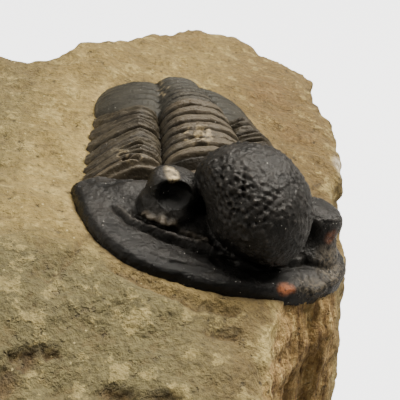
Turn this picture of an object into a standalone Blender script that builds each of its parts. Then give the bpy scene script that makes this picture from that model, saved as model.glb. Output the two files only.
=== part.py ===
"""Trilobite fossil lying in its block of limestone.

Axes: +Z up, the head points to -Y and the tail to +Y, and the origin is under the middle of
the stone's flat base. Lengths below are in millimetres and are scaled to metres by MM.
The animal is built in two beds: head_bed for the head shield, body_bed for thorax and tail.
In both beds x runs across the animal, y towards its tail and z out of the stone.
"""
import math

import bmesh
import bpy
from mathutils import Euler, Vector, noise

MM = 0.001

# Stone
STONE_BASE = -28.0             # level of the flat base, below the joint of head and thorax
STONE_OUTLINE = [              # corners of the broken block, seen from above
    (-44, -40), (-22, -43), (7, -41), (7.6, -31), (8.4, -22),
    (11, -16.5), (17.5, -13.5), (19.8, -4), (21, 3), (19, 12),
    (20.6, 15), (22.3, 23), (21.4, 31), (19.8, 38), (21.2, 44),
    (21, 49), (16.5, 54), (8, 60), (-1, 60.5), (-7, 56),
    (-13.5, 45), (-19, 38), (-22.5, 32), (-33, 30), (-46, 31), (-47, -5),
]
STONE_CENTRE = (-8, 8)
STONE_TURNS = 60               # points round the block
STONE_TOP_RINGS = 11
STONE_SIDE_RINGS = 5
STONE_UNDER_RINGS = 2
STONE_FLARE = 1.2              # how far the sides stand out below the top edge
STONE_ROUGHNESS = 1.1
EDGE_ROUNDING = 0.8            # how far the top drops at its broken edge
FRONT_EDGE = -21.0             # y where the top starts to fall away in front of the head
FRONT_FALL = 0.50              # slope of that fall
LEFT_FLAT = -24.0              # x beyond which the top stops rising
FAR_FLAT = 36.0                # y beyond which the top stops rising

# How the fossil lies
JOINT = (0.4, -0.4, 0.0)       # where head and thorax meet on the stone
TILT = 15.0                    # degrees, the stone's top falls to +X
BODY_PITCH = 7.0               # degrees, the thorax rises to the tail
BODY_TURN = 14.2               # degrees
HEAD_PITCH = -8.2              # degrees, against the thorax
HEAD_ROLL = 6.7
HEAD_TURN = 2.2
HEAD_SINK = 1.0
BED_DEPTH = 1.2                # how deep the plates sit in the stone
GAP = 0.3                      # room between neighbouring solids
CUTTER_TOP = 20.0              # the bed cutters reach this far above the beds

# Head shield
HEAD_HALF_WIDTH = 18.5
HEAD_LENGTH = 19.9
GENAL_Y = -1.3                 # the rear corners of the head
MARGIN_POWER_X = 0.88
MARGIN_POWER_Y = 0.58
HEAD_TURNS = 52
HEAD_TOP_RINGS = 11
BRIM_HEIGHT = 2.1
BRIM_WIDTH = 4.6
BORDER_FURROW = 1.3            # height of the furrow inside the brim
CHEEK_HEIGHT = 4.4
FURROW_END = 16.2              # the border furrow fades out this far from the middle
GLABELLA_RADIUS = 7.55         # the ball in the middle of the head
GLABELLA_Y = -12.3
GLABELLA_Z = 8.05
GLABELLA_TURNS = 32
GLABELLA_RINGS = 20
GLABELLA_DROP = (0.148, -0.515, -0.844)      # towards its narrow end, low in front
GLABELLA_LEAN = (0.904, -0.277, 0.327)       # the way the narrow end leans
EGG_PLACE = [-1.0, -0.6, 0.0, 0.55, 0.8, 1.0]           # along the drop, in radii
EGG_WIDTH = [1.0, 0.98, 0.84, 0.85, 0.8, 0.8]
EGG_SHIFT = [-0.09, -0.07, 0.13, 0.18, 0.24, 0.3]
PIMPLE = 0.16                  # height of the bumps on the ball
NECK_HALF_WIDTH = 6.2
NECK_HEIGHT = 7.4              # occipital ring
RIGHT_EYE = (-9.1, -8.9)       # the head is a little skewed, so the eyes aren't quite opposite
LEFT_EYE = (11.2, -10.2)
EYE_TOP = 8.8
EYE_RADIUS = 3.1
EYE_LENGTH = 1.2               # length of an eye tower against its width
EYE_TURNS = 18
EYE_PROFILE = [                # share of the radius, depth below the top
    (0.0, 0.1), (0.55, 0.0), (0.88, 0.45), (1.04, 1.4), (1.06, 2.4),
    (0.98, 3.3), (1.02, 4.3), (1.52, 5.6), (1.52, 8.2), (0.0, 8.2),
]

# Thorax
SEGMENTS = 7
THORAX_LENGTH = 13.4
AXIS_HALF_WIDTH = 6.6          # at the head
AXIS_HALF_WIDTH_END = 3.0      # at the end of the tail
AXIS_SHARE = 0.36              # part of a segment's columns that make its axial ring
THORAX_HALF_WIDTH = 16.4       # at the head
TAIL_HALF_WIDTH = 12.8
BODY_TAPER = 2.2               # the sides stay wide in front and draw in towards the tail
AXIS_HEIGHT = 8.0
FURROW_HEIGHT = 4.3            # axial furrow
PLEURA_HEIGHT = 5.8
PLEURA_CREST = 0.36            # part of the pleura's width where it is highest
PLEURA_FALL = 1.3              # how straight the pleura falls from its crest to its tip
TIP_HEIGHT = 0.5
# How far each line between two pleurae bends back on its way to the tips, from head to tail
TIP_SWEEP = [0.0, -0.35, -0.55, -0.4, 0.4, 1.6, 3.0, 4.8]
SEGMENT_RELIEF = 0.45          # swelling of each band between its front and rear edge
SEGMENT_COLUMNS = 30
SEGMENT_ROWS = 4

# Tail shield
TAIL_LENGTH = 14.0
TAIL_TURNS = 44
TAIL_TOP_RINGS = 11
TAIL_RINGS = 6                 # rings on the tail's axis


def clear_scene():
    for old in list(bpy.data.objects):
        bpy.data.objects.remove(old, do_unlink=True)


def collection(name):
    group = bpy.data.collections.new(name)
    bpy.context.scene.collection.children.link(group)
    return group


def material(name, colour, roughness):
    finish = bpy.data.materials.new(name)
    finish.use_nodes = True
    shader = finish.node_tree.nodes["Principled BSDF"]
    shader.inputs["Base Color"].default_value = (*colour, 1.0)
    shader.inputs["Roughness"].default_value = roughness
    shader.inputs["Metallic"].default_value = 0.0
    return finish


def empty(name, group, parent=None, location=(0, 0, 0), turn=None):
    mark = bpy.data.objects.new(name, None)
    group.objects.link(mark)
    mark.parent = parent
    mark.location = Vector(location) * MM
    if turn is not None:
        mark.rotation_euler = turn.to_euler()
    return mark


def finish_mesh(name, bm, group, parent, finish, location=(0, 0, 0)):
    bmesh.ops.recalc_face_normals(bm, faces=bm.faces)
    bmesh.ops.scale(bm, verts=bm.verts, vec=(MM, MM, MM))
    mesh = bpy.data.meshes.new(name)
    bm.to_mesh(mesh)
    bm.free()
    if finish is not None:
        mesh.materials.append(finish)
    mesh.shade_smooth()
    mesh.set_sharp_from_angle(angle=math.radians(40))
    piece = bpy.data.objects.new(name, mesh)
    group.objects.link(piece)
    piece.parent = parent
    piece.location = Vector(location) * MM
    return piece


def as_cutter(piece):
    piece.hide_render = True
    piece.display_type = 'WIRE'
    return piece


def boolean(piece, other, operation):
    step = piece.modifiers.new(f"{operation} {other.name}", 'BOOLEAN')
    step.operation = operation
    step.solver = 'EXACT'
    step.object = other


def clamp(value, low=0.0, high=1.0):
    return max(low, min(high, value))


def ease(value):
    t = clamp(value)
    return t * t * (3 - 2 * t)


def mix(a, b, t):
    return a + (b - a) * t


def table(value, places, values):
    """Straight lines between the given values."""
    for a, b, low, high in zip(places, places[1:], values, values[1:]):
        if value <= b:
            return mix(low, high, clamp((value - a) / (b - a)))
    return values[-1]


def reach(outline, centre, angle):
    """Distance from centre to a closed outline in the direction of angle."""
    dx, dy = math.cos(angle), math.sin(angle)
    best = 0.0
    for (ax, ay), (bx, by) in zip(outline, outline[1:] + outline[:1]):
        ex, ey = bx - ax, by - ay
        cross = dx * ey - dy * ex
        if abs(cross) < 1e-9:
            continue
        px, py = ax - centre[0], ay - centre[1]
        along = (px * ey - py * ex) / cross
        part = (px * dy - py * dx) / cross
        if along > 0 and -1e-6 <= part <= 1 + 1e-6:
            best = max(best, along)
    return best


def ringed_solid(turns, rings, place):
    """A UV sphere whose rings, counted from the top pole down, are put where place says."""
    bm = bmesh.new()
    bmesh.ops.create_uvsphere(bm, u_segments=turns, v_segments=rings, radius=1.0)
    for vert in bm.verts:
        ring = round(math.acos(clamp(vert.co.z, -1, 1)) / math.pi * rings)
        vert.co = place(math.atan2(vert.co.y, vert.co.x), ring)
    return bm


def plate(outline, centre, turns, top_rings, height, base):
    """A solid with the given outline, a flat underside at base and a top at height(x, y, part).

    part runs from 0 at the centre to 1 at the outline.
    """
    reaches = {}

    def place(angle, ring):
        key = round(angle, 4)
        if key not in reaches:
            reaches[key] = reach(outline, centre, angle)
        if ring <= top_rings:
            part = math.sin(ring / top_rings * math.pi / 2)
        else:
            part = clamp(top_rings + 2 - ring, 0, 1)
        x = centre[0] + math.cos(angle) * reaches[key] * part
        y = centre[1] + math.sin(angle) * reaches[key] * part
        z = height(x, y, part) if ring <= top_rings else base
        return Vector((x, y, z))

    return ringed_solid(turns, top_rings + 2, place)


def body_rotation():
    return Euler((0, math.radians(TILT), 0)).to_matrix() \
        @ Euler((math.radians(BODY_PITCH), 0, 0)).to_matrix() \
        @ Euler((0, 0, math.radians(BODY_TURN))).to_matrix()


def head_rotation():
    """Turn of the head's bed inside the body's bed."""
    return Euler((0, 0, math.radians(HEAD_TURN))).to_matrix() \
        @ Euler((math.radians(HEAD_PITCH), 0, 0)).to_matrix() \
        @ Euler((0, math.radians(HEAD_ROLL), 0)).to_matrix()


def plane_height(x, y, origin, normal):
    return origin.z - (normal.x * (x - origin.x) + normal.y * (y - origin.y)) / normal.z


# ---- stone ----

def stone_top(x, y):
    """Height of the block's upper surface: the two beds, then falling or level beyond them."""
    body = body_rotation()
    head = body @ head_rotation()
    origin = Vector(JOINT)
    head_origin = origin + head @ Vector((0, 0, -HEAD_SINK))
    px, py = max(x, LEFT_FLAT), min(y, FAR_FLAT)
    tailwards = (body.transposed() @ (Vector((px, py, 0)) - origin)).y
    on_head = plane_height(px, py, head_origin, head.col[2])
    on_body = plane_height(px, py, origin, body.col[2])
    z = mix(on_head, on_body, ease((tailwards + 2) / 4))
    if y < FRONT_EDGE:
        z -= FRONT_FALL * (FRONT_EDGE - y)
    away = math.hypot(x - 2, (y - 4) / 1.5)
    lumps = noise.noise(Vector((x, y, 3.0)) * 0.09) + 0.5 * noise.noise(Vector((x, y, 9.0)) * 0.23)
    return z + lumps * STONE_ROUGHNESS * ease((away - 18) / 8)


def make_stone(group, finish, root):
    edge_rings = STONE_TOP_RINGS + STONE_SIDE_RINGS

    def place(angle, ring):
        far = reach(STONE_OUTLINE, STONE_CENTRE, angle)
        if ring <= STONE_TOP_RINGS:
            part = ring / STONE_TOP_RINGS
            x = STONE_CENTRE[0] + math.cos(angle) * far * part
            y = STONE_CENTRE[1] + math.sin(angle) * far * part
            return Vector((x, y, stone_top(x, y) - EDGE_ROUNDING * ease((part - 0.9) / 0.1)))
        if ring <= edge_rings:
            down = (ring - STONE_TOP_RINGS) / STONE_SIDE_RINGS
            top = stone_top(STONE_CENTRE[0] + math.cos(angle) * far,
                            STONE_CENTRE[1] + math.sin(angle) * far)
            z = mix(top, STONE_BASE, down)
            spot = Vector((math.cos(angle) * far, math.sin(angle) * far, z))
            chips = noise.noise(spot * 0.12) + 0.6 * noise.noise(spot * 0.31)
            bulge = STONE_FLARE * math.sin(math.pi * min(down, 0.75)) * 0.5
            far += bulge + chips * STONE_ROUGHNESS * math.sin(math.pi * min(down + 0.1, 1))
            return Vector((STONE_CENTRE[0] + math.cos(angle) * far,
                           STONE_CENTRE[1] + math.sin(angle) * far, z))
        part = 1 - (ring - edge_rings) / STONE_UNDER_RINGS
        return Vector((STONE_CENTRE[0] + math.cos(angle) * far * part,
                       STONE_CENTRE[1] + math.sin(angle) * far * part, STONE_BASE))

    bm = ringed_solid(STONE_TURNS, edge_rings + STONE_UNDER_RINGS, place)
    return finish_mesh("matrix", bm, group, root, finish)


# ---- head shield ----

def head_outline(spread=0.0):
    """Front margin from the animal's right corner to its left one, then the rear edge."""
    front = []
    steps = 48
    for step in range(steps + 1):
        a = mix(-math.pi / 2, math.pi / 2, step / steps)
        side = math.copysign(abs(math.sin(a)) ** MARGIN_POWER_X, math.sin(a))
        ahead = abs(math.cos(a)) ** MARGIN_POWER_Y
        x = (HEAD_HALF_WIDTH + spread) * side
        y = GENAL_Y - (HEAD_LENGTH + GENAL_Y + spread) * ahead
        front.append((x, y))
    rear = [(18.3, -0.9), (15, -0.5), (7.6, -0.75), (6, -1.2), (0, -1.25),
            (-6, -1.2), (-7.6, -0.75), (-15, -0.5), (-18.3, -0.9)]
    return front + [(x, y + spread) for x, y in rear]


def distance_inside_margin(x, y):
    """Distance from the head's front margin, measured towards the middle of the rear edge."""
    across = (abs(x) / HEAD_HALF_WIDTH) ** (2 / MARGIN_POWER_X)
    ahead = (max(GENAL_Y - y, 0) / (HEAD_LENGTH + GENAL_Y)) ** (2 / MARGIN_POWER_Y)
    share = max(across + ahead, 1e-6) ** 0.36
    return (1 - share) / share * math.hypot(x, y - GENAL_Y)


def head_height(x, y, part):
    inside = distance_inside_margin(x, y)
    dish = math.sin(math.pi * clamp(inside / BRIM_WIDTH))
    brim = BRIM_HEIGHT - 0.5 * (1 - ease(inside / 0.8)) - 0.35 * dish
    sunk = ease((inside - BRIM_WIDTH + 0.6) / 0.9) * ease((FURROW_END - abs(x)) / 3.0)
    furrow = mix(brim, BORDER_FURROW, sunk)
    z = mix(furrow, CHEEK_HEIGHT, ease((inside - BRIM_WIDTH - 0.6) / 4.2))
    rear = ease((y + 3.0) / 1.6) * ease((abs(x) - 6.4) / 1.5) * ease((inside - 1.5) / 3)
    z = mix(z, 2.7, rear)
    if abs(x) < NECK_HALF_WIDTH and y > -9:
        crown = math.sqrt(1 - (x / NECK_HALF_WIDTH) ** 2)
        z = max(z, 4.2 + (NECK_HEIGHT - 4.2) * crown - 0.8 * ease((y + 2.6) / 1.5))
    return z


def make_glabella(group, root):
    """A pimpled ball, drawn out into a leaning egg towards the brim."""
    drop = Vector(GLABELLA_DROP).normalized()
    lean = Vector(GLABELLA_LEAN).normalized()

    def place(angle, ring):
        polar = ring / GLABELLA_RINGS * math.pi
        column = round(angle / (2 * math.pi) * GLABELLA_TURNS)
        pimple = PIMPLE * (1 if (ring + column) % 2 else -1)
        radius = GLABELLA_RADIUS + (pimple if 2 < ring < 15 else 0)
        unit = Vector((math.cos(angle) * math.sin(polar), math.sin(angle) * math.sin(polar),
                       math.cos(polar)))
        down = unit.dot(drop)
        aside = unit.dot(lean) * (table(down, EGG_PLACE, EGG_WIDTH) - 1)
        return unit * radius + lean * radius * (aside + table(down, EGG_PLACE, EGG_SHIFT))

    bm = ringed_solid(GLABELLA_TURNS, GLABELLA_RINGS, place)
    ball = finish_mesh("glabella", bm, group, root, None, (0, GLABELLA_Y, GLABELLA_Z))
    return as_cutter(ball)


def make_eye(name, spot, group, root):
    """A tower with a waist under the overhanging lens surface."""
    def place(angle, ring):
        width, depth = EYE_PROFILE[ring]
        return Vector((math.cos(angle) * EYE_RADIUS * width,
                       math.sin(angle) * EYE_RADIUS * EYE_LENGTH * width, EYE_TOP - depth))

    bm = ringed_solid(EYE_TURNS, len(EYE_PROFILE) - 1, place)
    eye = finish_mesh(name, bm, group, root, None, (*spot, 0))
    return as_cutter(eye)


def make_head(group, cutters, finish, bed):
    bm = plate(head_outline(), (0, -9), HEAD_TURNS, HEAD_TOP_RINGS, head_height, -BED_DEPTH)
    head = finish_mesh("head_shield", bm, group, bed, finish)
    boolean(head, make_glabella(cutters, bed), 'UNION')
    boolean(head, make_eye("eye_left", LEFT_EYE, cutters, bed), 'UNION')
    boolean(head, make_eye("eye_right", RIGHT_EYE, cutters, bed), 'UNION')
    return head


# ---- thorax and tail ----

def axis_half_width(s):
    return mix(AXIS_HALF_WIDTH, AXIS_HALF_WIDTH_END, s / (THORAX_LENGTH + TAIL_LENGTH))


def body_half_width(s):
    return mix(THORAX_HALF_WIDTH, TAIL_HALF_WIDTH, clamp(s / THORAX_LENGTH) ** BODY_TAPER)


def sweep(s, u):
    """How far the pleura has bent back at part u of its width."""
    tip = table(clamp(s / THORAX_LENGTH) * SEGMENTS, range(SEGMENTS + 1), TIP_SWEEP)
    return tip * clamp((u - 0.3) / 0.7) ** 1.5


def pleura_height(u):
    if u < PLEURA_CREST:
        return mix(FURROW_HEIGHT, PLEURA_HEIGHT, math.sin(u / PLEURA_CREST * math.pi / 2))
    out = (u - PLEURA_CREST) / (1 - PLEURA_CREST)
    return mix(PLEURA_HEIGHT, TIP_HEIGHT, out ** PLEURA_FALL)


def make_segment(index, group, finish, bed):
    length = THORAX_LENGTH / SEGMENTS
    start = index * length

    def place(c, v):
        side = 1 if c > 0 else -1
        u = max(abs(c) - AXIS_SHARE, 0) / (1 - AXIS_SHARE)
        tuck = 0.55 * ease((u - 0.72) / 0.28)
        along = mix(v, 0.6, tuck)
        s = start + GAP / 2 + along * (length - GAP)
        relief = SEGMENT_RELIEF * math.sin(math.pi * clamp(v * 1.1)) - 0.35
        if abs(c) <= AXIS_SHARE:
            lean = math.sin(c / AXIS_SHARE * math.pi / 2)
            x = axis_half_width(s) * lean
            z = mix(FURROW_HEIGHT, AXIS_HEIGHT, math.sqrt(max(1 - lean * lean, 0))) + relief
        else:
            x = side * mix(axis_half_width(s), body_half_width(s), u)
            z = pleura_height(u) + relief * (1 - u)
            z -= 0.5 * (1 - v) * ease(1 - index) * math.sin(math.pi * u)
        return Vector((x, s + sweep(s, u) - start, z))

    bm = bmesh.new()
    bmesh.ops.create_grid(bm, x_segments=SEGMENT_COLUMNS, y_segments=SEGMENT_ROWS, size=1.0)
    for vert in bm.verts:
        vert.co = place(vert.co.x, (vert.co.y + 1) / 2)
    top = list(bm.faces)
    copied = bmesh.ops.extrude_face_region(bm, geom=top, use_keep_orig=True)["geom"]
    under = [item for item in copied if isinstance(item, bmesh.types.BMFace)]
    for vert in {v for face in under for v in face.verts}:
        vert.co.z = -BED_DEPTH
    inner = [edge for edge in bm.edges if len(edge.link_faces) == 2
             and all(face in under for face in edge.link_faces)]
    bmesh.ops.dissolve_edges(bm, edges=inner, use_verts=False)
    return finish_mesh(f"thorax_segment_{index + 1}", bm, group, bed, finish, (0, start, 0))


def tail_outline():
    """Front edge across the axis, then the rounded margin, in the tail's own y."""
    front = []
    steps = 12
    inner = axis_half_width(THORAX_LENGTH)
    for step in range(-steps, steps + 1):
        part = step / steps
        u = max(abs(part) - 0.4, 0) / 0.6
        x = part / 0.4 * inner if abs(part) < 0.4 else math.copysign(mix(inner, TAIL_HALF_WIDTH, u), part)
        front.append((x, sweep(THORAX_LENGTH, u) + GAP / 2))
    margin = []
    steps = 40
    for step in range(1, steps):
        a = math.pi * step / steps
        margin.append((TAIL_HALF_WIDTH * math.cos(a),
                       TIP_SWEEP[-1] * abs(math.cos(a)) + TAIL_LENGTH * math.sin(a)))
    return front + margin


def tail_height(x, y, part):
    half = mix(axis_half_width(THORAX_LENGTH), AXIS_HALF_WIDTH_END, clamp(y / (TAIL_LENGTH * 0.75)))
    out = abs(x) / TAIL_HALF_WIDTH
    share = clamp(math.hypot(out, (y - TIP_SWEEP[-1] * out) / TAIL_LENGTH))
    field = mix(PLEURA_HEIGHT - 0.2, TIP_HEIGHT, share ** 3.6)
    field -= 0.9 * math.exp(-((abs(x) - half) / 0.9) ** 2) * (1 - share)
    end = 1 - ease((y - TAIL_LENGTH * 0.68) / (TAIL_LENGTH * 0.2))
    if abs(x) < half:
        crown = math.sqrt(1 - (x / half) ** 2)
        ring = 0.14 * math.cos(2 * math.pi * y / (TAIL_LENGTH * 0.75 / TAIL_RINGS))
        raised = mix(FURROW_HEIGHT - 0.3, AXIS_HEIGHT - 2.4 * ease(y / TAIL_LENGTH / 0.8), crown) + ring
        field = mix(field, max(raised, field), end)
    return field


def make_tail(group, finish, bed):
    bm = plate(tail_outline(), (0, 5), TAIL_TURNS, TAIL_TOP_RINGS, tail_height, -BED_DEPTH)
    return finish_mesh("tail_shield", bm, group, bed, finish, (0, THORAX_LENGTH, 0))


# ---- beds cut in the stone ----

def cutter_lid(x, y, part):
    return CUTTER_TOP


def head_bed_cutter(group, bed):
    bm = plate(head_outline(GAP), (0, -9), HEAD_TURNS, 2, cutter_lid, -BED_DEPTH - GAP)
    return as_cutter(finish_mesh("head_bed_cut", bm, group, bed, None))


def body_bed_cutter(group, bed):
    side = []
    for line in range(SEGMENTS):
        s = THORAX_LENGTH * line / SEGMENTS
        side.append((body_half_width(s) + GAP, s + sweep(s, 1.0)))
    outline = [(-THORAX_HALF_WIDTH - GAP, -2.0), (THORAX_HALF_WIDTH + GAP, -2.0)] + side
    steps = 24
    for step in range(steps + 1):
        a = math.pi * step / steps
        outline.append(((TAIL_HALF_WIDTH + GAP) * math.cos(a),
                        THORAX_LENGTH + TIP_SWEEP[-1] * abs(math.cos(a))
                        + (TAIL_LENGTH + GAP) * math.sin(a)))
    outline += [(-x, y) for x, y in reversed(side)]
    bm = plate(outline, (0, 12), TAIL_TURNS, 2, cutter_lid, -BED_DEPTH - GAP)
    return as_cutter(finish_mesh("body_bed_cut", bm, group, bed, None))


# ---- whole ----

def main():
    clear_scene()
    group = collection("trilobite_fossil")
    cutters = collection("cutters")
    limestone = material("tan limestone", (0.42, 0.33, 0.2), 0.9)
    shell = material("black shell", (0.028, 0.027, 0.024), 0.35)
    worn = material("brown black shell", (0.06, 0.05, 0.036), 0.45)

    xs = [x for x, y in STONE_OUTLINE]
    ys = [y for x, y in STONE_OUTLINE]
    middle = ((min(xs) + max(xs)) / 2, (min(ys) + max(ys)) / 2)
    root = empty("stone_base", group, location=(-middle[0], -middle[1], -STONE_BASE))
    body_bed = empty("body_bed", group, root, JOINT, body_rotation())
    sink = head_rotation() @ Vector((0, 0, -HEAD_SINK))
    head_bed = empty("head_bed", group, body_bed, sink, head_rotation())

    stone = make_stone(group, limestone, root)
    beds = head_bed_cutter(cutters, head_bed)
    boolean(beds, body_bed_cutter(cutters, body_bed), 'UNION')
    boolean(stone, beds, 'DIFFERENCE')
    make_head(group, cutters, shell, head_bed)
    for index in range(SEGMENTS):
        make_segment(index, group, worn, body_bed)
    make_tail(group, shell, body_bed)
    bpy.context.view_layer.update()


main()
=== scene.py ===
# %% [markdown]
# # A trilobite on its block of limestone
#
# The real thing is the black fossil shell of a sea animal, half freed by hand from a broken block of tan
# limestone. The shell is far finer than the block, so head, tail and stone are made like digital clay:
# simple forms are joined, remeshed into one even skin, and then their points are moved by small functions.
# Lengths are in millimetres and are turned into metres where a mesh is written. Left and right are the
# animal's own, so +x is its left.

# %% Load the fixed frame
import math
import bpy
import numpy as np
from mathutils import Euler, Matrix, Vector, kdtree


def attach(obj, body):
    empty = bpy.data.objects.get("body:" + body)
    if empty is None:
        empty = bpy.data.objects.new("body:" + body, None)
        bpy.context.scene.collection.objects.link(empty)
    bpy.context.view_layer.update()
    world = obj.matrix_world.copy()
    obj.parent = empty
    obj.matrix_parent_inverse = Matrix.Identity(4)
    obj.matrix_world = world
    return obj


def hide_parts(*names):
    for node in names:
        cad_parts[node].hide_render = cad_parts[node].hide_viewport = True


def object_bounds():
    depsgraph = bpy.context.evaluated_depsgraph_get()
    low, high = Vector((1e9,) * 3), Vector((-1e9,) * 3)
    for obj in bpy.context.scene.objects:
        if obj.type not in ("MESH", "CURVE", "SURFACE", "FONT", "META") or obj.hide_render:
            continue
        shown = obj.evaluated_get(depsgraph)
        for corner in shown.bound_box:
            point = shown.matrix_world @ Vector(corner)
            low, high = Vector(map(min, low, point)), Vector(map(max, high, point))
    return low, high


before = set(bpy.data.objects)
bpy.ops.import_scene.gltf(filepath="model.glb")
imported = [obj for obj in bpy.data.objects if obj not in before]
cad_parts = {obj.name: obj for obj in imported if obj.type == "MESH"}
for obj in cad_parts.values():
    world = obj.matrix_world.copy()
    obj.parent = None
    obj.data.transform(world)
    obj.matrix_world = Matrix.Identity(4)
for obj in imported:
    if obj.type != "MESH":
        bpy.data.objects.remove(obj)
cad_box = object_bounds()
MM = 0.001
LOW = np.array(cad_box[0]) / MM
HIGH = np.array(cad_box[1]) / MM
print("solids", sorted(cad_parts), "box", LOW.round(1), HIGH.round(1))

# %% [markdown]
# ## Two beds
#
# The head and the body lie on the tilted stone at slightly different angles. Each has its own bed, in
# which x runs across the animal, y to its tail and z out of the stone. Shapes are thought out in a bed
# and then carried to the stone by one turn and one shift.

# %% The beds of body and head
def turn(x, y, z):
    """A rotation from three angles in degrees."""
    return np.array(Euler([math.radians(a) for a in (x, y, z)]).to_matrix())


BODY = turn(0, 15, 0) @ turn(7, 0, 0) @ turn(0, 0, 14.2)
HEAD = BODY @ turn(0, 0, 2.2) @ turn(-8.2, 0, 0) @ turn(0, 6.7, 0)
BODY_AT = np.array((12.75, -9.15, 28.0))
HEAD_AT = BODY_AT + HEAD @ np.array((0, 0, -1.0))
BEDS = {"head": (HEAD, HEAD_AT), "body": (BODY, BODY_AT)}


def to_bed(points, bed):
    rotation, at = BEDS[bed]
    return (points - at) @ rotation


def from_bed(points, bed):
    rotation, at = BEDS[bed]
    return points @ rotation.T + at


print("head bed starts at", HEAD_AT.round(2))

# %% [markdown]
# ## Small tools
#
# The same few moves come back for every piece: let go of everything, read the points as numbers, put
# them back, push them along the surface's normals, and ask how far each point stands out of its
# surroundings. The last one later tells the materials where dust gathers, where shade is painted in the
# hollows and where edges are worn.

# %% Hands
def let_go():
    if bpy.context.mode != "OBJECT":
        bpy.ops.object.mode_set(mode="OBJECT")
    bpy.ops.object.select_all(action="DESELECT")


def take(*pieces):
    let_go()
    for piece in pieces:
        piece.select_set(True)
    bpy.context.view_layer.objects.active = pieces[0]
    return pieces[0]


def named(name):
    piece = bpy.context.active_object
    piece.name = name
    piece.data.name = name
    return piece


def edit_all(piece, operator, **settings):
    """Run one edit-mode operator on the whole mesh."""
    take(piece)
    bpy.ops.object.mode_set(mode="EDIT")
    bpy.ops.mesh.select_all(action="SELECT")
    operator(**settings)
    bpy.ops.object.mode_set(mode="OBJECT")


def get_points(piece):
    flat = np.empty(len(piece.data.vertices) * 3)
    piece.data.vertices.foreach_get("co", flat)
    return flat.reshape(-1, 3) / MM


def put_points(piece, points):
    piece.data.vertices.foreach_set("co", (points * MM).ravel())
    piece.data.update()


def get_normals(piece):
    flat = np.empty(len(piece.data.vertices) * 3)
    piece.data.vertex_normals.foreach_get("vector", flat)
    return flat.reshape(-1, 3)


def push(piece, amount):
    put_points(piece, get_points(piece) + get_normals(piece) * amount[:, None])


def get_edges(piece):
    flat = np.empty(len(piece.data.edges) * 2, dtype=np.int32)
    piece.data.edges.foreach_get("vertices", flat)
    return flat.reshape(-1, 2)


def smoothed(values, edges, turns):
    """Each turn moves every value halfway to the mean of its neighbours."""
    a, b = edges.T
    count = len(values)
    share = np.maximum(np.bincount(a, minlength=count) + np.bincount(b, minlength=count), 1)
    for _ in range(turns):
        around = np.stack([np.bincount(a, values[b, k], count) + np.bincount(b, values[a, k], count)
                           for k in range(values.shape[1])], axis=1)
        values = values * 0.5 + around / share[:, None] * 0.5
    return values


def standing_out(piece, turns):
    points = get_points(piece)
    return ((points - smoothed(points, get_edges(piece), turns)) * get_normals(piece)).sum(1)


def paint(piece, **masks):
    """Write each mask on the points, where the materials read it by its name."""
    for name, values in masks.items():
        layer = piece.data.attributes.get(name) or piece.data.attributes.new(name, "FLOAT", "POINT")
        layer.data.foreach_set("value", values.astype(np.float32))


def remesh(piece, size):
    take(piece)
    bpy.ops.object.modifier_add(type="REMESH")
    step = piece.modifiers[-1]
    step.mode = "VOXEL"
    step.voxel_size = size * MM
    bpy.ops.object.modifier_apply(modifier=step.name)
    return piece


print("hands ready")

# %% [markdown]
# ## Shapes of numbers
#
# Carving needs only a handful of curves: a soft step, a mix, a rounded bump, smooth random lumps, and the
# distance to a line or a spot. Numbers are used for them because each one can be moved a tenth at a time.

# %% Curves and noise
def ease(value):
    t = np.clip(value, 0, 1)
    return t * t * (3 - 2 * t)


def mix(a, b, t):
    return a + (b - a) * t


def bump(value, width):
    return np.exp(-(value / width) ** 2)


def scatter(cell):
    """A fixed random number from -1 to 1 for each whole-number place."""
    whole = cell.astype(np.int64).astype(np.uint32)
    h = whole[:, 0] * np.uint32(374761393) + whole[:, 1] * np.uint32(668265263) \
        + whole[:, 2] * np.uint32(2246822519)
    h = (h ^ (h >> np.uint32(13))) * np.uint32(1274126177)
    h = h ^ (h >> np.uint32(16))
    return h.astype(np.float64) / 2 ** 31 - 1


def lumps(points, size, seed=0.0):
    """Smooth lumps about size mm across, from -1 to 1."""
    place = points / size + seed + 100.5
    cell = np.floor(place)
    part = place - cell
    part = part * part * (3 - 2 * part)
    total = np.zeros(len(points))
    for corner in np.ndindex(2, 2, 2):
        corner = np.array(corner)
        total += np.prod(np.where(corner, part, 1 - part), axis=1) * scatter(cell + corner)
    return total


def rough(points, size, octaves=4, seed=0.0):
    """Lumps on lumps, each half as wide and about half as high as the last."""
    return sum(lumps(points, size / 2 ** k, seed + 7 * k) * 0.55 ** k for k in range(octaves))


def line_distance(points, path):
    """Distance of each point to a line through the given corners, in x and y or in all three."""
    best = np.full(len(points), 1e9)
    points = points[:, :len(path[0])]
    for a, b in zip(np.array(path[:-1], float), np.array(path[1:], float)):
        part = np.clip(((points - a) @ (b - a)) / ((b - a) @ (b - a)), 0, 1)
        best = np.minimum(best, np.linalg.norm(points - a - part[:, None] * (b - a), axis=1))
    return best


def spot(points, centre, radius):
    """1 at the centre, fading out at the radius."""
    return ease(1.5 - 1.5 * np.sqrt((((points - np.array(centre)) / np.array(radius)) ** 2).sum(1)))


print("noise test", lumps(np.array([[0.3, 0.2, 0.1]]), 1.0).round(3))

# %% [markdown]
# ## The head shield: outline and height
#
# Seen from above the head is a half moon. A flat brim runs round its front, then come narrow grooves, and
# then the cheek rises to the eye. The outline is one curve, and the height is a short table read along the
# distance from the groove, so one changed number moves the whole rim. The ball in the middle is no true
# sphere: it narrows and leans towards its lower end, so a sphere is drawn out sideways by a table.

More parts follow.
